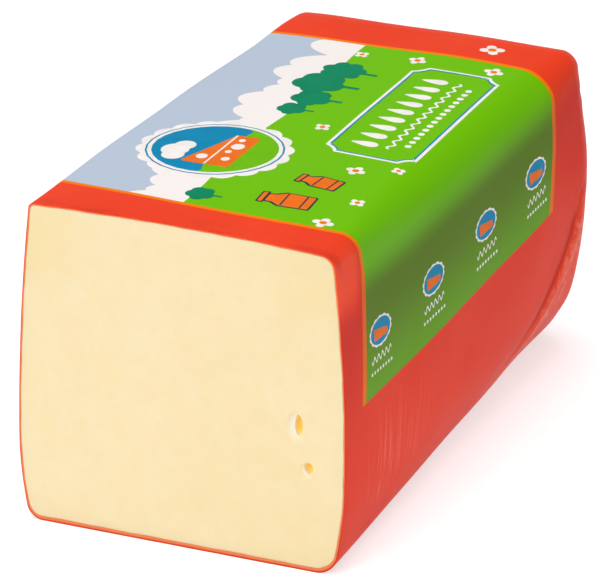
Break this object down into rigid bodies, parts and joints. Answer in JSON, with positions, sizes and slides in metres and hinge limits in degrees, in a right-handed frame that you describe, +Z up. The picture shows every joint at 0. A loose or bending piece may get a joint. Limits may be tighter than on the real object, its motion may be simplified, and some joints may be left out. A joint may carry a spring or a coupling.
{
  "type": "edam cheese block",
  "caption": "Block of mild yellow cheese in a red printed film, cut square at the front, with small gas holes in the cut face.",
  "frame": {"origin": "under the middle of the block, on the surface that it rests on", "axes": "+Z up, +Y from the cut face to the wrapped end, +X across the loaf, to the right as the cut face is seen"},
  "size_m": [0.114, 0.193, 0.1013],
  "materials": {
    "cheese": "soft matt pale yellow cheese, slightly moist and translucent",
    "red_film": "smooth red film with a soft gloss and a colour print"
  },
  "bodies": {
    "root": {"cheese": "cheese", "red_film": "red_film"}
  },
  "joints": []
}
